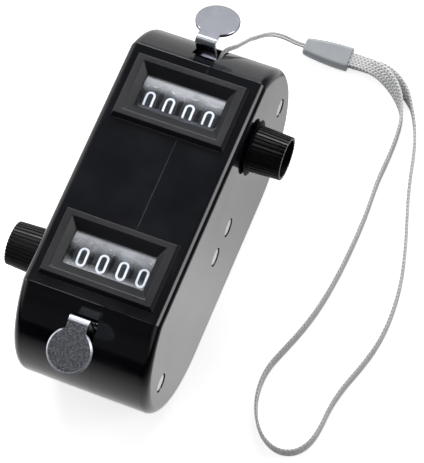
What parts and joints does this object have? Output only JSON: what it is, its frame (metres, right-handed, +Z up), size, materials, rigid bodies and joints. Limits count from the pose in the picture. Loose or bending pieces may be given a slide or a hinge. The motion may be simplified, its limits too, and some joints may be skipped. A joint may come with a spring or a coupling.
{
  "type": "double tally counter",
  "caption": "Hand tally counter with paired number windows in one rounded case, thumb levers at the ends, side reset knobs and a wrist strap",
  "frame": {"origin": "middle of the case's flat bottom, on the surface it stands on", "axes": "+X towards the upper counter's reset knob, +Y towards the strap end, +Z up through the windows"},
  "size_m": [0.0888, 0.1239, 0.0513],
  "materials": {
    "case_plastic": "high-gloss black moulding",
    "bezel_plastic": "satin black moulding",
    "window_pane": "clear acrylic",
    "knob_plastic": "satin black moulding",
    "wheel_plastic": "black wheels with white printed numerals",
    "lever_steel": "bright nickel plate on pressed steel",
    "rivet_steel": "bright nickel plate",
    "sheet_steel": "plain pressed steel",
    "pin_steel": "ground steel",
    "spring_steel": "spring steel",
    "cord_fabric": "light grey braided nylon",
    "sleeve_plastic": "soft grey moulding",
    "band_fabric": "light grey knitted nylon"
  },
  "bodies": {
    "housing": {"left_case": "case_plastic", "right_case": "case_plastic", "case_rivets": "rivet_steel", "bezel_upper": "bezel_plastic", "lens_upper": "window_pane", "chassis_upper": "sheet_steel", "lever_pin_upper": "pin_steel", "detent_comb_upper": "spring_steel", "return_spring_upper": "spring_steel", "bezel_lower": "bezel_plastic", "lens_lower": "window_pane", "chassis_lower": "sheet_steel", "lever_pin_lower": "pin_steel", "detent_comb_lower": "spring_steel", "return_spring_lower": "spring_steel", "strap_pin": "pin_steel", "strap_cord": "cord_fabric", "strap_sleeve": "sleeve_plastic", "strap_band": "band_fabric"},
    "lever_upper": {"thumb_lever_upper": "lever_steel", "pawl_pin_upper": "pin_steel"},
    "pawl_upper": {"feed_pawl_upper": "sheet_steel"},
    "reset_upper": {"wheel_shaft_upper": "pin_steel", "shaft_clip_upper": "spring_steel", "reset_knob_upper": "knob_plastic"},
    "units_upper": {"units_wheel_upper": "wheel_plastic"},
    "tens_upper": {"tens_wheel_upper": "wheel_plastic"},
    "hundreds_upper": {"hundreds_wheel_upper": "wheel_plastic"},
    "thousands_upper": {"thousands_wheel_upper": "wheel_plastic"},
    "lever_lower": {"thumb_lever_lower": "lever_steel", "pawl_pin_lower": "pin_steel"},
    "pawl_lower": {"feed_pawl_lower": "sheet_steel"},
    "reset_lower": {"wheel_shaft_lower": "pin_steel", "shaft_clip_lower": "spring_steel", "reset_knob_lower": "knob_plastic"},
    "units_lower": {"units_wheel_lower": "wheel_plastic"},
    "tens_lower": {"tens_wheel_lower": "wheel_plastic"},
    "hundreds_lower": {"hundreds_wheel_lower": "wheel_plastic"},
    "thousands_lower": {"thousands_wheel_lower": "wheel_plastic"}
  },
  "joints": [
    {"name": "upper_lever_press", "type": "hinge", "parent": "housing", "child": "lever_upper", "pos_m": [0, 0.0365, 0.0395], "axis": [-1, 0, 0], "range_deg": [0, 18], "stiffness_Nm_per_rad": 0.06, "springref_deg": -11.46, "deforming": ["return_spring_upper"]},
    {"name": "upper_pawl_swing", "type": "hinge", "parent": "lever_upper", "child": "pawl_upper", "pos_m": [0, 0.0345, 0.0255], "axis": [1, 0, 0], "range_deg": [0, 25.2]},
    {"name": "upper_reset_turn", "type": "hinge", "parent": "housing", "child": "reset_upper", "pos_m": [0, 0.022, 0.03635], "axis": [1, 0, 0], "continuous": true},
    {"name": "upper_units_turn", "type": "hinge", "parent": "housing", "child": "units_upper", "pos_m": [0, 0.022, 0.03635], "axis": [-1, 0, 0], "continuous": true},
    {"name": "upper_tens_turn", "type": "hinge", "parent": "housing", "child": "tens_upper", "pos_m": [0, 0.022, 0.03635], "axis": [-1, 0, 0], "continuous": true},
    {"name": "upper_hundreds_turn", "type": "hinge", "parent": "housing", "child": "hundreds_upper", "pos_m": [0, 0.022, 0.03635], "axis": [-1, 0, 0], "continuous": true},
    {"name": "upper_thousands_turn", "type": "hinge", "parent": "housing", "child": "thousands_upper", "pos_m": [0, 0.022, 0.03635], "axis": [-1, 0, 0], "continuous": true},
    {"name": "lower_lever_press", "type": "hinge", "parent": "housing", "child": "lever_lower", "pos_m": [0, -0.0365, 0.0395], "axis": [1, 0, 0], "range_deg": [0, 18], "stiffness_Nm_per_rad": 0.06, "springref_deg": -11.46, "deforming": ["return_spring_lower"]},
    {"name": "lower_pawl_swing", "type": "hinge", "parent": "lever_lower", "child": "pawl_lower", "pos_m": [0, -0.0345, 0.0255], "axis": [-1, 0, 0], "range_deg": [0, 25.2]},
    {"name": "lower_reset_turn", "type": "hinge", "parent": "housing", "child": "reset_lower", "pos_m": [0, -0.022, 0.03635], "axis": [-1, 0, 0], "continuous": true},
    {"name": "lower_units_turn", "type": "hinge", "parent": "housing", "child": "units_lower", "pos_m": [0, -0.022, 0.03635], "axis": [1, 0, 0], "continuous": true},
    {"name": "lower_tens_turn", "type": "hinge", "parent": "housing", "child": "tens_lower", "pos_m": [0, -0.022, 0.03635], "axis": [1, 0, 0], "continuous": true},
    {"name": "lower_hundreds_turn", "type": "hinge", "parent": "housing", "child": "hundreds_lower", "pos_m": [0, -0.022, 0.03635], "axis": [1, 0, 0], "continuous": true},
    {"name": "lower_thousands_turn", "type": "hinge", "parent": "housing", "child": "thousands_lower", "pos_m": [0, -0.022, 0.03635], "axis": [1, 0, 0], "continuous": true}
  ],
  "couplings": [
    {"joint": "upper_pawl_swing", "follows": "upper_lever_press", "ratio": 1.4},
    {"joint": "lower_pawl_swing", "follows": "lower_lever_press", "ratio": 1.4}
  ]
}
